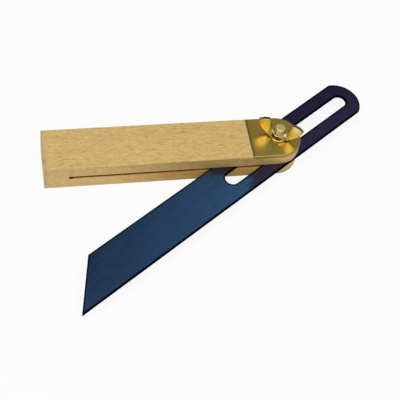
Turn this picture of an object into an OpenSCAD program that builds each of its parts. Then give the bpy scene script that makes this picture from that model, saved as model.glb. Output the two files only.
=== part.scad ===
// Sliding bevel: a slotted steel blade that swings and slides in a wooden stock,
// clamped by a screw and a wing nut between two brass end plates.
// Millimetres, +Z up. The origin is on the pivot axis, in the plane of the underside.

/* [Stock] */
// Length from the square butt to the round end
stock_length = 148; // [140:0.5:200]
// Width across the flats, also the diameter of the round end
stock_width = 27.8; // [24:0.1:34]
// Thickness from the underside to the top
stock_thick = 17.6; // [15:0.1:24]
// Distance from the pivot axis to the tip of the round end
pivot_inset = 13.3; // [12:0.1:16]
// Solid wood left at the butt, where the kerf for the blade stops
butt_solid = 13.8; // [10:0.1:20]
// Chamfer along the outer edges
edge_chamfer = 0.4; // [0.2:0.1:1]

/* [Brass plates] */
// Length of each plate, measured from the tip of the round end
plate_length = 30.5; // [28:0.5:40]
// Thickness of each plate, let in flush
plate_thick = 2; // [1:0.1:3]

/* [Blade] */
// Length from the sharp corner to the middle of the round end
blade_length = 225; // [215:1:260]
// Width across the two long edges
blade_width = 25.4; // [22:0.1:30]
// Thickness of the sheet
blade_thick = 1.5; // [1:0.1:2]
// Angle between the cut tip and the long edge
tip_angle = 45; // [30:1:60]
// How much the radius of the round end exceeds half the width
end_easing = 1.5; // [0.2:0.1:8]
// Radius of the two shoulders beside the round end
shoulder_radius = 3; // [1:0.1:6]
// Metal left beyond the far end of the slot
slot_margin = 8; // [6:0.1:20]
// How much wider the slot is than the screw
slot_play = 2.4; // [0.4:0.1:3]

/* [Rest pose] */
// Angle between the blade and the stock
blade_angle = 34.2; // [16:0.1:164]
// Place of the screw along the slot, 0 at the near end and 1 at the far end
slot_share = 0.4; // [0.02:0.01:0.98]
// Direction of the wings about the pivot axis
nut_turn = 154; // [0:1:360]

/* [Screw] */
// Shank diameter
screw_d = 6; // [5:0.1:7]
// Diameter of the countersunk head
head_d = 11; // [10:0.1:12]
// How far the head lies below the face of the lower plate
head_sink = 0.3; // [0.1:0.1:0.5]
// How far the end stands above the upper plate
screw_proud = 8.3; // [7:0.1:12]
// Width of the driver slot
driver_width = 1.6; // [1:0.1:2]
// Depth of the driver slot
driver_depth = 1.3; // [0.8:0.1:1.6]
// Chamfer at the end of the shank
end_chamfer = 0.7; // [0.3:0.1:1]

/* [Wing nut] */
// Wall outside the bore at the collar, where the boss is widest
boss_wall = 1.75; // [1.5:0.05:3]
// How much the boss narrows from the collar to its top
boss_taper = 0.25; // [0.1:0.05:0.5]
// Height of the boss
boss_height = 4; // [3.5:0.1:6]
// Height of the collar round its foot
collar_height = 0.8; // [0.6:0.1:1.2]
// How far the collar stands out from the boss
collar_step = 0.45; // [0.2:0.05:0.6]
// Distance across the two wings
wing_span = 26.4; // [24:0.2:34]
// Height of the wings above the foot
wing_height = 12.8; // [11:0.1:16]
// Wing thickness at the boss
wing_root = 2.6; // [2:0.1:3]
// Wing thickness at the outer end
wing_tip = 2; // [1.2:0.1:2.4]
// Bevel along the edges of the wings
wing_bevel = 0.25; // [0.1:0.05:0.5]

/* [Fits] */
// Radial gap between the screw and what it turns in
running_gap = 0.05; // [0.02:0.01:0.1]
// Gap between the blade and each cheek of the stock
kerf_gap = 0.2; // [0.1:0.05:0.6]
// Gap beyond the tip of the blade when it is folded away
fold_gap = 0.3; // [0.2:0.1:2]
// Gap around the screw head and under the wing nut
seat_gap = 0.1; // [0.05:0.05:0.2]

/* [Hidden] */
$fn = 96;
big = 400;
stock_r = stock_width / 2;
round_x = pivot_inset - stock_r;
butt_x = pivot_inset - stock_length;
plate_x = pivot_inset - plate_length;
screw_r = screw_d / 2;
bore_r = screw_r + running_gap;
slot_r = screw_r + slot_play / 2;
kerf_x = butt_x + butt_solid;
slot_near = -kerf_x - fold_gap;
slot_far = blade_length - slot_margin - slot_r;
blade_reach = slot_near + slot_share * (slot_far - slot_near);
blade_shift = slot_play / 2 - running_gap;
blade_z = (stock_thick - blade_thick) / 2;
kerf_height = blade_thick + 2 * kerf_gap;
kerf_z = (stock_thick - kerf_height) / 2;
tip_back = blade_width / tan(tip_angle);
end_radius = blade_width / 2 + end_easing;
end_x = blade_length - end_radius;
shoulder_w = blade_width / 2 - shoulder_radius;
shoulder_x = end_x + sqrt(pow(end_radius - shoulder_radius, 2) - pow(shoulder_w, 2));
end_turn = atan2(shoulder_w, shoulder_x - end_x);
head_r = head_d / 2;
head_high = head_r - screw_r;
screw_top = stock_thick + screw_proud;
boss_r = bore_r + boss_wall;
neck_r = boss_r - collar_step;
boss_top_r = neck_r - boss_taper;
nut_z = stock_thick + seat_gap;
wing_r = wing_span / 2;
root_x = boss_r + 1.1;

// Outer form of the stock with its plates: flat sides, one round end, chamfered edges.
module envelope() {
    c = edge_chamfer;
    t = stock_thick;
    intersection() {
        union() {
            translate([butt_x, 0, 0])
                rotate([90, 0, 90])
                    linear_extrude(height = round_x - butt_x)
                        polygon([
                            [-stock_r + c, 0], [stock_r - c, 0], [stock_r, c], [stock_r, t - c],
                            [stock_r - c, t], [-stock_r + c, t], [-stock_r, t - c], [-stock_r, c]
                        ]);
            translate([round_x, 0, 0])
                rotate_extrude()
                    polygon([[0, 0], [stock_r - c, 0], [stock_r, c], [stock_r, t - c], [stock_r - c, t], [0, t]]);
        }
        translate([0, stock_width, 0])
            rotate([90, 0, 0])
                linear_extrude(height = 2 * stock_width)
                    polygon([[butt_x + c, 0], [big, 0], [big, t], [butt_x + c, t], [butt_x, t - c], [butt_x, c]]);
        translate([0, 0, -1])
            linear_extrude(height = t + 2)
                polygon([
                    [butt_x + c, -stock_r], [big, -stock_r], [big, stock_r], [butt_x + c, stock_r],
                    [butt_x, stock_r - c], [butt_x, c - stock_r]
                ]);
    }
}

// Slab across the pivot end between two heights, as long as a plate.
module end_slab(z0, z1) {
    translate([plate_x, -big / 2, z0])
        cube([big, big, z1 - z0]);
}

// Hole for the shank, right through.
module shank_hole() {
    translate([0, 0, -1])
        cylinder(h = stock_thick + 2, r = bore_r);
}

// Countersink for the head, open at the underside.
module head_seat() {
    top = head_sink + head_high + seat_gap;
    translate([0, 0, -1])
        cylinder(h = top + 1, r1 = screw_r + top + 1, r2 = screw_r);
}

module stock() {
    color("burlywood")
        difference() {
            envelope();
            translate([kerf_x, -big / 2, kerf_z])
                cube([big, big, kerf_height]);
            end_slab(-1, plate_thick);
            end_slab(stock_thick - plate_thick, stock_thick + 1);
            shank_hole();
            head_seat();
        }
}

module upper_plate() {
    color("darkgoldenrod")
        difference() {
            intersection() {
                envelope();
                end_slab(stock_thick - plate_thick, stock_thick + 1);
            }
            shank_hole();
        }
}

module lower_plate() {
    color("darkgoldenrod")
        difference() {
            intersection() {
                envelope();
                end_slab(-1, plate_thick);
            }
            shank_hole();
            head_seat();
        }
}

// Outline of the blade: sharp corner at the start, round end with two shoulders.
module blade_outline() {
    w = blade_width / 2;
    polygon([[0, -w], [shoulder_x, -w], [shoulder_x, w], [tip_back, w]]);
    for (side = [-1, 1])
        translate([shoulder_x, side * shoulder_w])
            circle(r = shoulder_radius);
    intersection() {
        translate([end_x, 0])
            circle(r = end_radius);
        translate([end_x, 0])
            polygon([
                [0, 0], [big * cos(end_turn), -big * sin(end_turn)],
                [big, 0], [big * cos(end_turn), big * sin(end_turn)]
            ]);
    }
}

module blade_slot() {
    translate([slot_near, -slot_r])
        square([slot_far - slot_near, 2 * slot_r]);
    translate([slot_near, 0])
        circle(r = slot_r);
    translate([slot_far, 0])
        circle(r = slot_r);
}

module blade() {
    color("steelblue")
        rotate([0, 0, blade_angle])
            translate([-blade_reach, -blade_shift, blade_z])
                linear_extrude(height = blade_thick)
                    difference() {
                        blade_outline();
                        blade_slot();
                    }
}

module pivot_screw() {
    color("khaki")
        difference() {
            rotate_extrude()
                polygon([
                    [0, head_sink], [head_r, head_sink], [screw_r, head_sink + head_high],
                    [screw_r, screw_top - end_chamfer], [screw_r - end_chamfer, screw_top], [0, screw_top]
                ]);
            rotate([0, 0, blade_angle])
                translate([-big / 2, -driver_width / 2, head_sink - 1])
                    cube([big, driver_width, driver_depth + 1]);
        }
}

// Bevelled disc standing in the plane of a wing.
module wing_disc(x, z, r, thick) {
    translate([x, 0, z])
        rotate([90, 0, 0]) {
            cylinder(h = thick - 2 * wing_bevel, r = r, center = true, $fn = 32);
            cylinder(h = thick, r = r - wing_bevel, center = true, $fn = 32);
        }
}

// Fan-shaped wing: narrow at the boss, highest at its inner corner.
module wing() {
    hull() {
        wing_disc(root_x, 1.7, 1, wing_root);
        wing_disc(boss_r + 0.15, boss_height + 0.6, 0.6, wing_root);
        wing_disc(wing_r - 3.4, wing_height - 6.8, 1.5, wing_tip);
        wing_disc(wing_r - 1, wing_height - 3.3, 1, wing_tip);
        wing_disc(wing_r - 2.9, wing_height - 1.8, 1, wing_tip);
        wing_disc(wing_r - 5.5, wing_height - 0.8, 0.8, wing_tip);
    }
}

// Conical boss on a round collar, drawn out towards the two wings.
module boss() {
    rotate_extrude()
        polygon([
            [0, 0], [boss_r - 0.3, 0], [boss_r, 0.3], [boss_r, collar_height],
            [neck_r, collar_height + 0.3], [0, collar_height + 0.3]
        ]);
    hull() {
        translate([0, 0, collar_height])
            cylinder(h = boss_height - collar_height, r1 = neck_r, r2 = boss_top_r, $fn = 48);
        for (side = [-1, 1]) {
            translate([side * root_x, 0, collar_height])
                cylinder(h = 0.4, r = wing_root / 2 + 0.1, $fn = 32);
            translate([side * boss_top_r, 0, boss_height - 0.1])
                cylinder(h = 0.4, r = wing_root / 2, $fn = 32);
        }
    }
}

module wing_nut() {
    color("gold")
        translate([0, 0, nut_z])
            rotate([0, 0, nut_turn])
                difference() {
                    union() {
                        boss();
                        wing();
                        rotate([0, 0, 180])
                            wing();
                    }
                    translate([0, 0, -1])
                        cylinder(h = wing_height + 2, r = bore_r);
                }
}

stock();
upper_plate();
lower_plate();
blade();
pivot_screw();
wing_nut();
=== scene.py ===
import math
import bmesh
import bpy
from mathutils import Matrix, Vector


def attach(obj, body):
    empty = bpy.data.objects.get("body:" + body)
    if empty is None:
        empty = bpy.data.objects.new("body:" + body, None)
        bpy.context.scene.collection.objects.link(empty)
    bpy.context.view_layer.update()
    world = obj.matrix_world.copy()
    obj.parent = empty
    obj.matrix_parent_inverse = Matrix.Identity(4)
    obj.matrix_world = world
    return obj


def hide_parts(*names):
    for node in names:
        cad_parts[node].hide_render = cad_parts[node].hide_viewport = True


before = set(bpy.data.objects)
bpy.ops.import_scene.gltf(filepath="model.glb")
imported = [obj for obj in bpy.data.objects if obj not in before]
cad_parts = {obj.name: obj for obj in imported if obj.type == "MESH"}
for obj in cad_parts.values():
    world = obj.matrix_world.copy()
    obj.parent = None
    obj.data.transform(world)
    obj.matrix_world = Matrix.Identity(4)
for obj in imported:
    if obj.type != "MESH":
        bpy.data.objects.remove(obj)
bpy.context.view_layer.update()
mm = 0.001
print("frame loaded:", sorted(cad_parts))

# sockets of a Mix node: its factor, the two numbers, the two colours, and the colour that comes out
factor, numberA, numberB, colourA, colourB, colourOut = 0, 2, 3, 6, 7, 2


def toLinear(hexColour):
    parts = [int(hexColour[i:i + 2], 16) / 255 for i in (1, 3, 5)]
    return tuple(c / 12.92 if c <= 0.04045 else ((c + 0.055) / 1.055) ** 2.4 for c in parts) + (1.0,)


def addNode(tree, kind, settings=None, links=None):
    node = tree.nodes.new("ShaderNode" + kind)
    for key, value in (settings or {}).items():
        if isinstance(key, int) or key in node.inputs:
            node.inputs[key].default_value = value
        else:
            setattr(node, key, value)
    for key, source in (links or {}).items():
        tree.links.new(source, node.inputs[key])
    return node


def newMaterial(name, shaderSettings):
    material = bpy.data.materials.new(name)
    material.use_nodes = True
    tree = material.node_tree
    tree.nodes.clear()
    shader = addNode(tree, "BsdfPrincipled", shaderSettings)
    addNode(tree, "OutputMaterial", links={"Surface": shader.outputs[0]})
    coords = addNode(tree, "TexCoord")
    place = addNode(tree, "Mapping", {"Scale": (1 / mm,) * 3}, {"Vector": coords.outputs["Object"]})
    return material, tree, shader, place.outputs[0]  # the last is the place on the piece, in mm


def fillRamp(ramp, stops):
    elements = ramp.color_ramp.elements
    while len(elements) > 1:
        elements.remove(elements[-1])
    for i, (position, colour) in enumerate(stops):
        element = elements[0] if i == 0 else elements.new(position)
        element.position = position
        element.color = toLinear(colour) if isinstance(colour, str) else colour


def addMasks(tree, place, look, values):
    # patterns: size in mm along X, Y and Z, where it starts, noise settings
    for name, (size, start, settings) in look["patterns"].items():
        stretched = addNode(tree, "Mapping", {"Scale": [1 / side for side in size], "Location": start},
                            {"Vector": place})
        noise = addNode(tree, "TexNoise", {"Scale": 1.0, **settings}, {"Vector": stretched.outputs[0]})
        values[name] = noise.outputs[0]
    # fades: what each follows, from where to where (mm, or level of a pattern), strength at the two ends
    for name, (source, begin, full, low, high) in look["fades"].items():
        limits = {"From Min": begin, "From Max": full, "To Min": low, "To Max": high}
        fade = addNode(tree, "MapRange", limits, {"Value": values[source]})
        values[name] = fade.outputs[0]
    # joins: how two masks make a third
    for name, operation, first, second in look["joins"]:
        join = addNode(tree, "Math", {"operation": operation}, {0: values[first], 1: values[second]})
        values[name] = join.outputs[0]


def finishSurface(tree, shader, look, colour, rough, height):
    bump = addNode(tree, "Bump", {"Strength": look["bump"], "Distance": look["bumpMm"] * mm},
                   {"Height": height})
    for socket, source in (("Base Color", colour), ("Roughness", rough), ("Normal", bump.outputs[0])):
        tree.links.new(source, shader.inputs[socket])


# beech, planed and thinly sealed: straw and tan bands, with short dark pores and pale flecks along the
# grain; pores and flecks are drawn about twice as wide as real ones, so that they show
grainNoise = {"Detail": 2.0, "Roughness": 0.55, "Distortion": 0.5}
beechLook = {
    "straw": "#E1C074", "tan": "#DFB976", "pore": "#AB8640", "fleck": "#ECD3A0", "bandAt": (0.36, 0.64),
    # below: painted shade on the narrow sides near the pivot, painted shade in the kerf and painted shadow at
    # its blind end
    "pivotShade": "#EEE9DF", "pivotShadeLow": "#E1D0A2", "kerf": "#984400", "endWallShadow": "#1E0A02",
    "endGrain": "#CBB586", "endRing": "#A78E5A", "endPore": "#8E7746",
    "kerfMidMm": 8.8, "heartMm": (7.0, -36.0), "ringMm": 2.7, "ringWaverMm": 1.6, "ringAt": (0.6, 0.92),
    "bump": 0.15, "bumpMm": 0.08,
    "patterns": {  # the grain runs along X
        "band": ((55.0, 6.0, 6.0), (3.0, 1.3, 0.4), grainNoise),
        "streak": ((3.2, 0.6, 0.6), (0.0, 7.1, 2.2), grainNoise),
        "fleckNoise": ((2.8, 0.6, 0.6), (5.0, 0.0, 9.4), grainNoise),
        "swell": ((9.0, 9.0, 9.0), (0, 0, 0), {"Detail": 2.0}),
        "dots": ((0.45, 0.45, 0.45), (0, 0, 0), {"Detail": 1.0})},
    "fades": {
        "pores": ("streak", 0.48, 0.30, 0.0, 0.7),
        "flecks": ("fleckNoise", 0.53, 0.72, 0.0, 0.95),
        "narrow": ("side", 13.3, 13.7, 0.0, 1.0),
        # where the blade's painted shade lies on the narrow sides: towards the pivot, fading near the round
        # end, warmer below the kerf
        "shadeRise": ("x", -95.0, -62.0, 0.0, 1.0),
        "free": ("x", 4.0, -12.0, 0.0, 1.0),
        "low": ("z", 9.2, 8.4, 0.0, 1.0),
        "butt": ("x", -132.7, -134.4, 0.0, 1.0),
        "endPores": ("dots", 0.44, 0.28, 0.0, 0.6),
        # the kerf's painted shade: inside the slit, a little way in from the faces, and at the blind end
        "inside": ("kerfHeight", 1.07, 0.97, 0.0, 1.0),
        "beyond": ("x", -121.05, -120.95, 0.0, 1.0),
        "deep": ("side", 13.7, 13.1, 0.0, 1.0),
        "blind": ("x", -118.3, -119.7, 0.0, 1.0),
        "rough": ("streak", 0.3, 0.7, 0.62, 0.46)},
    "joins": [
        # the narrow sides near the pivot take the painted shade of the blade
        ("nearPivot", "MULTIPLY", "shadeRise", "free"), ("bladeShade", "MULTIPLY", "nearPivot", "narrow"),
        # the kerf's painted shade, a little way in and at its blind end, and the end wall's painted shadow
        ("sawn", "MULTIPLY", "inside", "beyond"), ("kerfShade", "MAXIMUM", "deep", "blind"),
        ("kerf", "MULTIPLY", "sawn", "kerfShade"), ("endWallShadow", "MULTIPLY", "sawn", "blind")]}


def makeBeech():
    look = beechLook
    material, tree, shader, place = newMaterial("beech", {"IOR": 1.5, "Specular IOR Level": 0.35})
    x, y, z = addNode(tree, "SeparateXYZ", links={"Vector": place}).outputs
    side = addNode(tree, "Math", {"operation": "ABSOLUTE"}, {0: y})
    fromMid = addNode(tree, "Math", {"operation": "SUBTRACT", 1: look["kerfMidMm"]}, {0: z})
    kerfHeight = addNode(tree, "Math", {"operation": "ABSOLUTE"}, {0: fromMid.outputs[0]})
    values = {"x": x, "z": z, "side": side.outputs[0], "kerfHeight": kerfHeight.outputs[0]}
    addMasks(tree, place, look, values)
    body = addNode(tree, "ValToRGB", links={"Fac": values["band"]})
    fillRamp(body, [(look["bandAt"][0], look["straw"]), (look["bandAt"][1], look["tan"])])
    colour = body.outputs[0]
    for layer, tone in (("pores", "pore"), ("flecks", "fleck")):
        mixed = addNode(tree, "Mix", {"data_type": "RGBA", colourB: toLinear(look[tone])},
                        {factor: values[layer], colourA: colour})
        colour = mixed.outputs[colourOut]
    # painted shade of the blade: the narrow sides darken towards the pivot, and are warmer below the kerf
    tint = addNode(tree, "Mix", {"data_type": "RGBA", colourA: toLinear(look["pivotShade"]),
                                 colourB: toLinear(look["pivotShadeLow"])}, {factor: values["low"]})
    pivotShade = addNode(tree, "Mix", {"data_type": "RGBA", "blend_type": "MULTIPLY"},
                      {factor: values["bladeShade"], colourA: colour, colourB: tint.outputs[colourOut]})
    # end grain on the butt: growth rings as arcs round the heart, with the pores between them seen as dots
    heartY, heartZ = look["heartMm"]
    fromHeart = addNode(tree, "Mapping", {"Scale": (0, 1, 1), "Location": (0, -heartY, -heartZ)},
                        {"Vector": place})
    reach = addNode(tree, "VectorMath", {"operation": "LENGTH"}, {0: fromHeart.outputs[0]})
    wavered = addNode(tree, "Math", {"operation": "MULTIPLY_ADD", 1: look["ringWaverMm"]},
                      {0: values["swell"], 2: reach.outputs["Value"]})
    years = addNode(tree, "Math", {"operation": "DIVIDE", 1: look["ringMm"]}, {0: wavered.outputs[0]})
    season = addNode(tree, "Math", {"operation": "FRACT"}, {0: years.outputs[0]})
    rings = addNode(tree, "ValToRGB", links={"Fac": season.outputs[0]})
    fillRamp(rings, [(0.0, look["endGrain"]), (look["ringAt"][0], look["endGrain"]),
                     (look["ringAt"][1], look["endRing"]), (1.0, look["endGrain"])])
    end = addNode(tree, "Mix", {"data_type": "RGBA", colourB: toLinear(look["endPore"])},
                  {factor: values["endPores"], colourA: rings.outputs[0]})
    ended = addNode(tree, "Mix", {"data_type": "RGBA"},
                    {factor: values["butt"], colourA: pivotShade.outputs[colourOut],
                     colourB: end.outputs[colourOut]})
    # painted shade: the kerf is dark a little way in, and near black at its blind end in the end wall's
    # shadow
    colour = ended.outputs[colourOut]
    for layer in ("kerf", "endWallShadow"):
        mixed = addNode(tree, "Mix", {"data_type": "RGBA", colourB: toLinear(look[layer])},
                        {factor: values[layer], colourA: colour})
        colour = mixed.outputs[colourOut]
    finishSurface(tree, shader, look, colour, values["rough"], values["streak"])
    return material


# spring steel, brushed along its length and blued: steel blue by the tip, dark violet towards the round end,
# and black edges all round, a painted dark reflection
steelLook = {
    "temper": [(0.15, "#324A6C"), (0.31, "#37597F"), (0.585, "#456D98"),
               (0.610, "#40415F"), (0.695, "#433E60")],
    "strokes": [(0.3, (0.80, 0.80, 0.83, 1.0)), (0.7, (1.26, 1.22, 1.15, 1.0))],
    "edge": "#0B0C10", "turnDeg": 34.2, "shiftMm": 1.15, "slant": 0.6, "cloudShare": 0.12,
    "endMm": 53.3, "slotMidMm": 9.2, "slotReachMm": 46.1, "bump": 0.06, "bumpMm": 0.03,
    "patterns": {  # X runs along the blade, away from its tip
        "brush": ((9.0, 0.5, 0.5), (0, 0, 0), {"Detail": 4.0, "Roughness": 0.65}),
        "clouds": ((26.0, 8.0, 8.0), (0, 0, 0), {"Detail": 3.0})},
    "fades": {
        "temper": ("slanted", -157.5, 67.5, 0.0, 1.0),
        "crossTone": ("offCentre", -12.7, 12.7, 1.18, 0.82),
        # the rims below carry the painted dark reflection: along the edges, round the end, at the tip and
        # round the slot
        "longRim": ("across", 11.6, 12.15, 0.0, 1.0),
        "endRim": ("fromEnd", 13.1, 13.65, 0.0, 1.0),
        "tipRim": ("fromTip", -143.26, -144.03, 0.0, 1.0),
        "slotRim": ("fromSlot", 5.4, 4.8, 0.0, 1.0),
        "rough": ("brush", 0.3, 0.7, 0.38, 0.5)},
    "joins": [
        ("rim", "MAXIMUM", "longRim", "endRim"), ("rim", "MAXIMUM", "rim", "tipRim"),
        ("rim", "MAXIMUM", "rim", "slotRim")]}


def makeBluedSteel():
    look = steelLook
    # the black tint keeps grazing reflections off the oxide
    material, tree, shader, place = newMaterial("blued spring steel",
                                                {"Metallic": 1.0, "Specular Tint": (0, 0, 0, 1)})
    heading = (0, 0, math.radians(look["turnDeg"]))
    turned = addNode(tree, "Mapping", {"vector_type": "TEXTURE", "Rotation": heading}, {"Vector": place})
    split = addNode(tree, "SeparateXYZ", links={"Vector": turned.outputs[0]})
    x = split.outputs["X"]
    y = split.outputs["Y"]
    slanted = addNode(tree, "Math", {"operation": "MULTIPLY_ADD", 1: look["slant"]}, {0: y, 2: x})
    offCentre = addNode(tree, "Math", {"operation": "ADD", 1: look["shiftMm"]}, {0: y})
    across = addNode(tree, "Math", {"operation": "ABSOLUTE"}, {0: offCentre.outputs[0]})
    # the tip is cut at 45 degrees
    fromTip = addNode(tree, "Math", {"operation": "SUBTRACT"}, {0: x, 1: offCentre.outputs[0]})
    values = {"slanted": slanted.outputs[0], "offCentre": offCentre.outputs[0], "across": across.outputs[0],
              "fromTip": fromTip.outputs[0]}
    # distance from the middle of the round end, and from the middle line of the slot
    beyondEnd = addNode(tree, "Math", {"operation": "SUBTRACT", 1: look["endMm"]}, {0: x})
    fromSlotMid = addNode(tree, "Math", {"operation": "SUBTRACT", 1: look["slotMidMm"]}, {0: x})
    lengthways = addNode(tree, "Math", {"operation": "ABSOLUTE"}, {0: fromSlotMid.outputs[0]})
    beyondSlot = addNode(tree, "Math", {"operation": "SUBTRACT", 1: look["slotReachMm"]},
                         {0: lengthways.outputs[0]})
    for name, beyond in (("fromEnd", beyondEnd), ("fromSlot", beyondSlot)):
        past = addNode(tree, "Math", {"operation": "MAXIMUM", 1: 0.0}, {0: beyond.outputs[0]})
        flat = addNode(tree, "CombineXYZ", links={0: past.outputs[0], 1: across.outputs[0]})
        distance = addNode(tree, "VectorMath", {"operation": "LENGTH"}, {0: flat.outputs[0]})
        values[name] = distance.outputs["Value"]
    addMasks(tree, turned.outputs[0], look, values)
    waver = addNode(tree, "Math", {"operation": "MULTIPLY_ADD", 1: look["cloudShare"]},
                    {0: values["clouds"], 2: values["temper"]})
    temper = addNode(tree, "ValToRGB", links={"Fac": waver.outputs[0]})
    fillRamp(temper, look["temper"])
    strokes = addNode(tree, "ValToRGB", links={"Fac": values["brush"]})
    fillRamp(strokes, look["strokes"])
    # one long edge is a little lighter, the other a little darker
    colour = temper.outputs[0]
    for tone in (strokes.outputs[0], values["crossTone"]):
        mixed = addNode(tree, "Mix", {"data_type": "RGBA", "blend_type": "MULTIPLY", factor: 1.0},
                        {colourA: colour, colourB: tone})
        colour = mixed.outputs[colourOut]
    # the black rim all round is a painted dark reflection on the edges
    whole = addNode(tree, "Mix", {"data_type": "RGBA", colourB: toLinear(look["edge"])},
                    {factor: values["rim"], colourA: colour})
    finishSurface(tree, shader, look, whole.outputs[colourOut], values["rough"], values["brush"])
    return material


# brass sheet, ground flat along the stock: an olive mirror with fine lengthwise strokes, a paler arris and
# dull brown edges
plateLook = {
    "face": [(0.38, "#E0B85C"), (0.62, "#D9C064")], "arris": "#A2925A", "side": "#AB924C", "end": "#86723A",
    "roughEdge": 0.6, "midMm": 8.8, "bump": 0.05, "bumpMm": 0.03,
    "patterns": {
        "strokes": ((14.0, 0.6, 0.6), (0, 0, 0), {"Detail": 3.0}),
        "tone": ((9.0, 9.0, 9.0), (0, 0, 0), {"Detail": 3.0, "Roughness": 0.55})},
    "fades": {
        "end": ("x", -15.7, -16.45, 0.0, 0.7),
        "edge": ("height", 8.77, 8.69, 0.0, 1.0),
        "side": ("height", 8.25, 8.15, 0.0, 1.0),
        "ground": ("strokes", 0.3, 0.7, 0.23, 0.31)},
    "joins": []}


def makePlateBrass():
    look = plateLook
    material, tree, shader, place = newMaterial("ground sheet brass", {"Metallic": 1.0})
    split = addNode(tree, "SeparateXYZ", links={"Vector": place})
    fromMid = addNode(tree, "Math", {"operation": "SUBTRACT", 1: look["midMm"]}, {0: split.outputs["Z"]})
    height = addNode(tree, "Math", {"operation": "ABSOLUTE"}, {0: fromMid.outputs[0]})
    values = {"x": split.outputs["X"], "height": height.outputs[0]}
    addMasks(tree, place, look, values)
    face = addNode(tree, "ValToRGB", links={"Fac": values["tone"]})
    fillRamp(face, look["face"])
    # the end against the wood is dull, as the sides are
    dulled = addNode(tree, "Mix", {"data_type": "RGBA", colourB: toLinear(look["end"])},
                     {factor: values["end"], colourA: face.outputs[0]})
    # below the ground face comes the arris, then the side
    rim = addNode(tree, "Mix", {"data_type": "RGBA", colourA: toLinear(look["arris"]),
                                colourB: toLinear(look["side"])}, {factor: values["side"]})
    whole = addNode(tree, "Mix", {"data_type": "RGBA"},
                    {factor: values["edge"], colourA: dulled.outputs[colourOut],
                     colourB: rim.outputs[colourOut]})
    rough = addNode(tree, "Mix", {"data_type": "FLOAT", numberB: look["roughEdge"]},
                    {factor: values["edge"], numberA: values["ground"]})
    finishSurface(tree, shader, look, whole.outputs[colourOut], rough.outputs[0], values["strokes"])
    return material


# cast brass, tumbled bright: a yellow mirror, faintly cloudy, still brown and dull in the bore and on the
# narrow edges of the wings; painted shade on one side of the boss, a half-strength brown ring over the collar
# and arms that is painted shade on the collar, and a painted dark reflection towards the wing tips
castLook = {
    "bright": [(0.35, "#DEC87A"), (0.65, "#E6D38A")], "brown": "#5F5122", "roughBrown": 0.42,
    "turnDeg": 154.0, "bump": 0.06, "bumpMm": 0.05,
    "patterns": {
        "clouds": ((2.5, 2.5, 2.5), (0, 0, 0), {"Detail": 4.0, "Roughness": 0.6}),
        "grain": ((0.7, 0.7, 0.7), (0, 0, 0), {"Detail": 2.0})},
    "fades": {
        "reach": ("radius", 4.6, 4.42, 0.0, 1.0),
        "aboveCollar": ("z", 18.75, 18.95, 0.0, 1.0),
        "belowTop": ("z", 21.55, 21.3, 0.0, 1.0),
        "bore": ("radius", 3.25, 3.05, 0.0, 1.0),
        # painted shade on one side of the boss
        "shadedSide": ("x", 0.4, -0.8, 0.0, 1.0),
        "narrow": ("fromMiddle", 0.92, 0.78, 0.0, 0.85),
        "wing": ("radius", 6.0, 6.8, 0.0, 1.0),
        # a half-strength brown ring from the collar out over the arms; on the collar it is painted shade
        "armStart": ("radius", 4.35, 4.7, 0.0, 0.5),
        "armEnd": ("radius", 6.9, 5.8, 0.0, 1.0),
        # painted dark reflection, darker towards the wing tips
        "tip": ("radius", 9.8, 12.6, 0.0, 0.45),
        "tumbled": ("clouds", 0.3, 0.7, 0.19, 0.25)},
    "joins": [
        ("boss", "MULTIPLY", "reach", "aboveCollar"), ("boss", "MULTIPLY", "boss", "belowTop"),
        # in the boss: the bore, and painted shade on one side
        ("boreAndShadedSide", "MAXIMUM", "bore", "shadedSide"), ("dull", "MULTIPLY", "boss", "boreAndShadedSide"),
        ("wingEdge", "MULTIPLY", "narrow", "wing"), ("dull", "MAXIMUM", "dull", "wingEdge"),
        # the ring holds painted shade on the collar; the tips hold a painted dark reflection
        ("arm", "MULTIPLY", "armStart", "armEnd"), ("dull", "MAXIMUM", "dull", "arm"),
        ("dull", "MAXIMUM", "dull", "tip")]}


def makeCastBrass():
    look = castLook
    material, tree, shader, place = newMaterial("bright cast brass", {"Metallic": 1.0})
    split = addNode(tree, "SeparateXYZ", links={"Vector": place})
    flat = addNode(tree, "Mapping", {"Scale": (1, 1, 0)}, {"Vector": place})
    radius = addNode(tree, "VectorMath", {"operation": "LENGTH"}, {0: flat.outputs[0]})
    heading = (0, 0, math.radians(look["turnDeg"]))
    turned = addNode(tree, "Mapping", {"vector_type": "TEXTURE", "Rotation": heading}, {"Vector": place})
    aside = addNode(tree, "SeparateXYZ", links={"Vector": turned.outputs[0]})
    fromMiddle = addNode(tree, "Math", {"operation": "ABSOLUTE"}, {0: aside.outputs["Y"]})
    values = {"x": split.outputs["X"], "z": split.outputs["Z"], "radius": radius.outputs["Value"],
              "fromMiddle": fromMiddle.outputs[0]}
    addMasks(tree, place, look, values)
    bright = addNode(tree, "ValToRGB", links={"Fac": values["clouds"]})
    fillRamp(bright, look["bright"])
    # brown in the bore and on the narrow edges, with painted shade on the boss and collar and a painted dark
    # reflection at the tips
    whole = addNode(tree, "Mix", {"data_type": "RGBA", colourB: toLinear(look["brown"])},
                    {factor: values["dull"], colourA: bright.outputs[0]})
    rough = addNode(tree, "Mix", {"data_type": "FLOAT", numberB: look["roughBrown"]},
                    {factor: values["dull"], numberA: values["tumbled"]})
    finishSurface(tree, shader, look, whole.outputs[colourOut], rough.outputs[0], values["grain"])
    return material


# turned brass, dulled by handling: pale, with rings left by the tool, and darker in the grooves of the thread
screwLook = {
    "pale": [(0.36, "#CFC072"), (0.6, "#E4D78E")], "grooveTone": "#6E5A22",
    "ringMm": 0.45, "bump": 0.1, "bumpMm": 0.03,
    "patterns": {"clouds": ((1.2, 1.2, 1.2), (0, 0, 0), {"Detail": 3.0})},
    "fades": {
        "groove": ("radius", 2.72, 2.5, 0.0, 1.0),
        "threaded": ("z", 25.3, 25.1, 0.0, 1.0),
        "rough": ("clouds", 0.3, 0.7, 0.36, 0.5)},
    "joins": [("inGroove", "MULTIPLY", "groove", "threaded")]}


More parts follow.
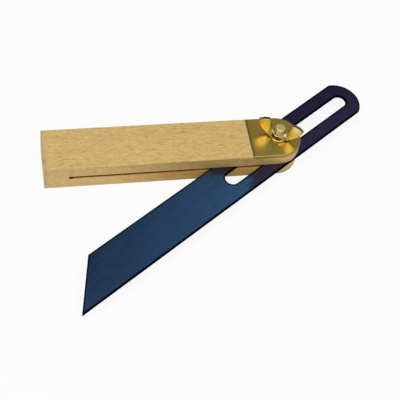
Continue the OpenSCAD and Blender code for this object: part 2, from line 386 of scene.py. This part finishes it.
def makeTurnedBrass():
    look = screwLook
    material, tree, shader, place = newMaterial("turned brass", {"Metallic": 0.7})
    split = addNode(tree, "SeparateXYZ", links={"Vector": place})
    flat = addNode(tree, "Mapping", {"Scale": (1, 1, 0)}, {"Vector": place})
    radius = addNode(tree, "VectorMath", {"operation": "LENGTH"}, {0: flat.outputs[0]})
    values = {"z": split.outputs["Z"], "radius": radius.outputs["Value"]}
    addMasks(tree, place, look, values)
    pale = addNode(tree, "ValToRGB", links={"Fac": values["clouds"]})
    fillRamp(pale, look["pale"])
    whole = addNode(tree, "Mix", {"data_type": "RGBA", colourB: toLinear(look["grooveTone"])},
                    {factor: values["inGroove"], colourA: pale.outputs[0]})
    wave = addNode(tree, "Math", {"operation": "MULTIPLY", 1: 2 * math.pi / look["ringMm"]},
                   {0: values["radius"]})
    rings = addNode(tree, "Math", {"operation": "SINE"}, {0: wave.outputs[0]})
    finishSurface(tree, shader, look, whole.outputs[colourOut], values["rough"], rings.outputs[0])
    return material


beech = makeBeech()
bluedSteel = makeBluedSteel()
plateBrass = makePlateBrass()
castBrass = makeCastBrass()
turnedBrass = makeTurnedBrass()
print("materials ready")

mergeMm = 0.0005  # closes the seams and poles of turned shapes


def turnProfile(bm, profile, steps, climb=0.0):
    # profile of (radius, height) in mm, turned once about Z while it climbs
    verts = [bm.verts.new((r * mm, 0, z * mm)) for r, z in profile]
    edges = [bm.edges.new(pair) for pair in zip(verts, verts[1:])]
    bmesh.ops.spin(bm, geom=verts + edges, cent=(0, 0, 0), axis=(0, 0, 1), angle=2 * math.pi, steps=steps,
                   dvec=(0, 0, climb * mm / steps), use_merge=climb == 0)


def hullOf(bm, verts):
    hull = bmesh.ops.convex_hull(bm, input=verts, use_existing_faces=False)
    bmesh.ops.delete(bm, geom=list(set(hull["geom_interior"])), context="VERTS")


def newObject(name, bm):
    mesh = bpy.data.meshes.new(name)
    bm.to_mesh(mesh)
    bm.free()
    made = bpy.data.objects.new(name, mesh)
    bpy.context.scene.collection.objects.link(made)
    return made


def newPiece(name, bm, material, body, smooth=True):
    piece = newObject(name, bm)
    piece.data.materials.append(material)
    for polygon in piece.data.polygons:
        polygon.use_smooth = smooth
    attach(piece, body)
    return piece


def applyModifiers(piece):
    depsgraph = bpy.context.evaluated_depsgraph_get()
    done = bpy.data.meshes.new_from_object(piece.evaluated_get(depsgraph))
    piece.modifiers.clear()
    piece.data = done


# CAD nodes that keep their shape: welded, with softened edges (width in mm)
softEdges = {"stock": 0.2, "upper_plate": 0.15, "lower_plate": 0.15, "blade": 0.18}
softening = {"weldMm": 0.002, "segments": 2, "angleDeg": 25}
finishes = {"stock": beech, "upper_plate": plateBrass, "lower_plate": plateBrass, "blade": bluedSteel,
            "pivot_screw": turnedBrass, "wing_nut": castBrass}
for name, material in finishes.items():
    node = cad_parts[name]
    node.data.materials.clear()
    node.data.materials.append(material)
for name, width in softEdges.items():
    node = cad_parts[name]
    weld = node.modifiers.new("weld", "WELD")
    weld.merge_threshold = softening["weldMm"] * mm
    soften = node.modifiers.new("soften", "BEVEL")
    soften.width = width * mm
    soften.segments = softening["segments"]
    soften.limit_method = "ANGLE"
    soften.angle_limit = math.radians(softening["angleDeg"])
    soften.harden_normals = False
print("CAD nodes finished")


# wing nut: conical boss on a round collar, with an arm on each side that carries a fan-shaped wing, cast as
# one, softened where they meet
nutShape = {
    "footZ": 17.7, "turnDeg": 154.0, "roundSteps": 64, "armSteps": 32, "wingSteps": 24,
    "collarR": 4.8, "collarHeight": 0.8, "collarEase": 0.3,
    "neckR": 4.35, "bossTopR": 3.85, "bossHeight": 4.0, "bossRim": 0.25, "bossSwell": 0.02,
    "boreR": 2.95, "leadR": 3.2, "leadDepth": 0.3, "drillBelow": 1.0, "drillAbove": 2.0,
    # discs of one arm: distance out, height, radius
    "arm": [(2.0, 0.8, 2.6), (2.0, 4.0, 2.2), (4.5, 0.8, 2.4), (4.5, 1.1, 2.4), (2.9, 5.2, 1.45)],
    # discs of one wing: distance out, height, radius, thickness
    "wing": [(5.9, 1.7, 1.0, 2.6), (4.95, 4.6, 0.6, 2.6), (9.8, 6.0, 1.5, 2.0), (12.2, 9.5, 1.0, 2.0),
             (10.3, 11.0, 1.0, 2.0), (7.7, 12.0, 0.8, 2.0)],
    "wingBevel": 0.12, "voxelMm": 0.1, "smoothing": 3, "smoothShare": 0.5}


def addRing(bm, radius, segments, place):
    ring = bmesh.ops.create_circle(bm, cap_ends=False, radius=radius * mm, segments=segments, matrix=place)
    return ring["verts"]


def moveTo(x, y, z):
    return Matrix.Translation(Vector((x, y, z)) * mm)


def makeWingNut():
    s = nutShape
    bm = bmesh.new()
    low = s["collarHeight"]
    ease = s["collarEase"]
    turnProfile(bm, [(0, 0), (s["collarR"] - ease, 0), (s["collarR"], ease), (s["collarR"], low),
                     (s["neckR"], low + ease), (0, low + ease)], s["roundSteps"])
    bmesh.ops.remove_doubles(bm, verts=bm.verts, dist=mergeMm * mm)
    top = s["bossHeight"]
    rings = []
    for z, r in ((low, s["neckR"]), (top - s["bossRim"], s["bossTopR"] + s["bossSwell"]),
                 (top, s["bossTopR"] - s["bossRim"])):
        rings += addRing(bm, r, s["roundSteps"], moveTo(0, 0, z))
    hullOf(bm, rings)
    for side in (-1, 1):
        rings = []
        for x, z, r in s["arm"]:
            rings += addRing(bm, r, s["armSteps"], moveTo(side * x, 0, z))
        hullOf(bm, rings)
    upright = Matrix.Rotation(math.pi / 2, 4, "X")
    for side in (0, math.pi):
        rings = []
        for x, z, r, thick in s["wing"]:
            for half, radius in ((thick / 2 - s["wingBevel"], r), (thick / 2, r - s["wingBevel"])):
                for sign in (-1, 1):
                    place = Matrix.Rotation(side, 4, "Z") @ moveTo(x, sign * half, z) @ upright
                    rings += addRing(bm, radius, s["wingSteps"], place)
        hullOf(bm, rings)
    bmesh.ops.remove_doubles(bm, verts=bm.verts, dist=mergeMm * mm)
    bmesh.ops.recalc_face_normals(bm, faces=bm.faces)
    turned = Matrix.Rotation(math.radians(s["turnDeg"]), 3, "Z")
    bmesh.ops.rotate(bm, verts=bm.verts, cent=(0, 0, 0), matrix=turned)
    bmesh.ops.translate(bm, verts=bm.verts, vec=(0, 0, s["footZ"] * mm))
    nut = newPiece("wingNut", bm, castBrass, "nut")

    # drill with a countersink at the top, for the bore
    bm = bmesh.new()
    start = -s["drillBelow"]
    end = top + s["drillAbove"]
    turnProfile(bm, [(0, start), (s["boreR"], start), (s["boreR"], top - s["leadDepth"]), (s["leadR"], top),
                     (s["leadR"], end), (0, end)], s["roundSteps"])
    bmesh.ops.remove_doubles(bm, verts=bm.verts, dist=mergeMm * mm)
    bmesh.ops.recalc_face_normals(bm, faces=bm.faces)
    bmesh.ops.translate(bm, verts=bm.verts, vec=(0, 0, s["footZ"] * mm))
    drill = newObject("drill", bm)

    cut = nut.modifiers.new("drill", "BOOLEAN")
    cut.operation = "DIFFERENCE"
    cut.solver = "EXACT"
    cut.use_self = True  # joins the boss and the wings too
    cut.object = drill
    remesh = nut.modifiers.new("cast", "REMESH")
    remesh.mode = "VOXEL"
    remesh.voxel_size = s["voxelMm"] * mm
    remesh.use_smooth_shade = True
    soften = nut.modifiers.new("soften", "SMOOTH")
    soften.factor = s["smoothShare"]
    soften.iterations = s["smoothing"]
    applyModifiers(nut)
    bpy.data.objects.remove(drill)
    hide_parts("wing_nut")
    return nut


wingNut = makeWingNut()
print("wing nut:", len(wingNut.data.polygons), "faces")


# screw: the head and shank of the CAD node, with a real thread from the upper plate to the end
screwShape = {
    "cutZ": 16.6, "endZ": 25.9, "steps": 48, "weldMm": 0.002, "threadWeldMm": 0.001,
    "crestR": 2.78, "rootR": 2.4, "pitch": 1.0, "threadSink": 0.4,
    "flank": (0.12, 0.46, 0.66),  # heights in one pitch: end of the root, start and end of the crest
    # turned end: how far it reaches into the thread, its lower ease, its step in from the crest, its crown
    "endSink": 0.35, "endEase": 0.15, "endStep": 0.05, "chamfer": 0.55, "dome": 0.12,
    "crownR": 1.2, "crown": 0.03}


def fillHoles(bm):
    bmesh.ops.holes_fill(bm, edges=[edge for edge in bm.edges if edge.is_boundary], sides=0)


def makeScrew():
    s = screwShape
    bm = bmesh.new()
    bm.from_mesh(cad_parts["pivot_screw"].data)
    bmesh.ops.remove_doubles(bm, verts=bm.verts, dist=s["weldMm"] * mm)
    everything = bm.verts[:] + bm.edges[:] + bm.faces[:]
    bmesh.ops.bisect_plane(bm, geom=everything, plane_co=(0, 0, s["cutZ"] * mm), plane_no=(0, 0, 1),
                           clear_outer=True)
    fillHoles(bm)
    # thread: one flank profile, turned once while it climbs one pitch
    shoulder = s["endZ"] - s["chamfer"]
    turns = int((shoulder - s["cutZ"]) / s["pitch"])
    rootEnd, crestStart, crestEnd = s["flank"]
    start = s["cutZ"] - s["threadSink"]
    profile = []
    for k in range(turns):
        z = start + k * s["pitch"]
        profile += [(s["rootR"], z), (s["rootR"], z + rootEnd), (s["crestR"], z + crestStart),
                    (s["crestR"], z + crestEnd)]
    profile.append((s["rootR"], start + turns * s["pitch"]))
    turnProfile(bm, profile, s["steps"], climb=s["pitch"])
    bmesh.ops.remove_doubles(bm, verts=bm.verts, dist=s["threadWeldMm"] * mm)
    fillHoles(bm)
    # turned end with its chamfer
    foot = shoulder - s["endSink"]
    endR = s["crestR"] - s["endStep"]
    turnProfile(bm, [(0, foot), (endR, foot + s["endEase"]), (endR, shoulder),
                     (s["crestR"] - s["chamfer"], s["endZ"] - s["dome"]),
                     (s["crownR"], s["endZ"] - s["crown"]), (0, s["endZ"])], s["steps"])
    bmesh.ops.remove_doubles(bm, verts=bm.verts, dist=mergeMm * mm)
    bmesh.ops.recalc_face_normals(bm, faces=bm.faces)
    screw = newPiece("clampScrew", bm, turnedBrass, "pivot", smooth=False)
    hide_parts("pivot_screw")
    return screw


clampScrew = makeScrew()
print("screw:", len(clampScrew.data.polygons), "faces")


# studio: pale floor, one large soft lamp overhead on the camera's side, a fill card by the butt, dim even
# surroundings
studio = {
    "floorMm": 20000, "floorDropMm": 0.05, "floorColour": "#F4F4F2", "floorGlow": 0.88, "horizonGlow": 0.91,
    # heights in the sky, 0 at the horizon and 1 overhead: where it brightens, where the white room ends
    "skyAt": (0.1, 0.75), "skyStrength": (0.10, 0.28), "horizonAt": (0.26, 0.20),
    "lampSpotMm": (-305, -430, 1100), "lampTurnDeg": (0, 0, 0), "lampSizeMm": (2580, 1120), "lampWatts": 15.2,
    "cardSpotMm": (-400, -230, 165), "cardTurnDeg": (69, 0, -52), "cardSizeMm": (360, 140), "cardWatts": 0.2}
white = (1, 1, 1, 1)


def whiteShare(tree, glow):
    # how white a ray finds the room: nearly all to the eye, all in a reflection, not at all for diffuse light
    path = addNode(tree, "LightPath")
    seen = addNode(tree, "Math", {"operation": "MULTIPLY", 1: glow}, {0: path.outputs["Is Camera Ray"]})
    mirrored = addNode(tree, "Math", {"operation": "MAXIMUM"},
                       {0: path.outputs["Is Glossy Ray"], 1: path.outputs["Is Transmission Ray"]})
    either = addNode(tree, "Math", {"operation": "MAXIMUM"}, {0: seen.outputs[0], 1: mirrored.outputs[0]})
    return either.outputs[0]


def makeFloor():
    s = studio
    bm = bmesh.new()
    bmesh.ops.create_grid(bm, x_segments=1, y_segments=1, size=s["floorMm"] * mm)
    bmesh.ops.translate(bm, verts=bm.verts, vec=(0, 0, -s["floorDropMm"] * mm))
    floor = newObject("floor", bm)
    material = bpy.data.materials.new("matt studio paper")
    material.use_nodes = True
    tree = material.node_tree
    tree.nodes.clear()
    paper = addNode(tree, "BsdfDiffuse", {"Color": toLinear(s["floorColour"])})
    glow = addNode(tree, "Emission", {"Color": white, "Strength": 1.0})
    both = addNode(tree, "MixShader", links={0: whiteShare(tree, s["floorGlow"]), 1: paper.outputs[0],
                                             2: glow.outputs[0]})
    addNode(tree, "OutputMaterial", links={"Surface": both.outputs[0]})
    floor.data.materials.append(material)


def makeSky():
    s = studio
    world = bpy.data.worlds.new("studio")
    world.use_nodes = True
    tree = world.node_tree
    tree.nodes.clear()
    coords = addNode(tree, "TexCoord")
    split = addNode(tree, "SeparateXYZ", links={"Vector": coords.outputs["Generated"]})
    height = split.outputs[2]
    shade = addNode(tree, "MapRange", {"From Min": s["skyAt"][0], "From Max": s["skyAt"][1],
                                       "To Min": s["skyStrength"][0], "To Max": s["skyStrength"][1]},
                    {"Value": height})
    # the far end of the room is as pale as the floor
    low = addNode(tree, "MapRange", {"From Min": s["horizonAt"][0], "From Max": s["horizonAt"][1]},
                  {"Value": height})
    far = addNode(tree, "Math", {"operation": "MULTIPLY"},
                  {0: whiteShare(tree, s["horizonGlow"]), 1: low.outputs[0]})
    strength = addNode(tree, "Mix", {"data_type": "FLOAT", numberB: 1.0},
                       {factor: far.outputs[0], numberA: shade.outputs[0]})
    sky = addNode(tree, "Background", {"Color": white}, {"Strength": strength.outputs[0]})
    addNode(tree, "OutputWorld", links={"Surface": sky.outputs[0]})
    bpy.context.scene.world = world


def placeHolder(name, data, spotMm, turnDeg):
    holder = bpy.data.objects.new(name, data)
    holder.location = Vector(spotMm) * mm
    holder.rotation_euler = [math.radians(angle) for angle in turnDeg]
    bpy.context.scene.collection.objects.link(holder)
    return holder


def makeLamps():
    s = studio
    for name in ("lamp", "card"):
        light = bpy.data.lights.new(name, "AREA")
        light.shape = "RECTANGLE"
        light.size, light.size_y = (side * mm for side in s[name + "SizeMm"])
        light.energy = s[name + "Watts"]
        placeHolder(name, light, s[name + "SpotMm"], s[name + "TurnDeg"])


makeFloor()
makeSky()
makeLamps()
print("studio ready")


# the photograph's own viewpoint
photoCamera = {"spotMm": (-157.113, -338.260, 460.485), "turnDeg": (34.883, -6.922, -9.506),
               "lensMm": 89.987, "sensorMm": 36.0, "clipMm": 10.0}


def makeCamera():
    c = photoCamera
    camera = bpy.data.cameras.new("photoCamera")
    camera.sensor_fit = "HORIZONTAL"
    camera.sensor_width = c["sensorMm"]
    camera.lens = c["lensMm"]
    camera.clip_start = c["clipMm"] * mm
    bpy.context.scene.camera = placeHolder("photoCamera", camera, c["spotMm"], c["turnDeg"])


makeCamera()
bpy.context.scene.view_settings.view_transform = "Standard"
print("camera ready")

bpy.context.view_layer.update()
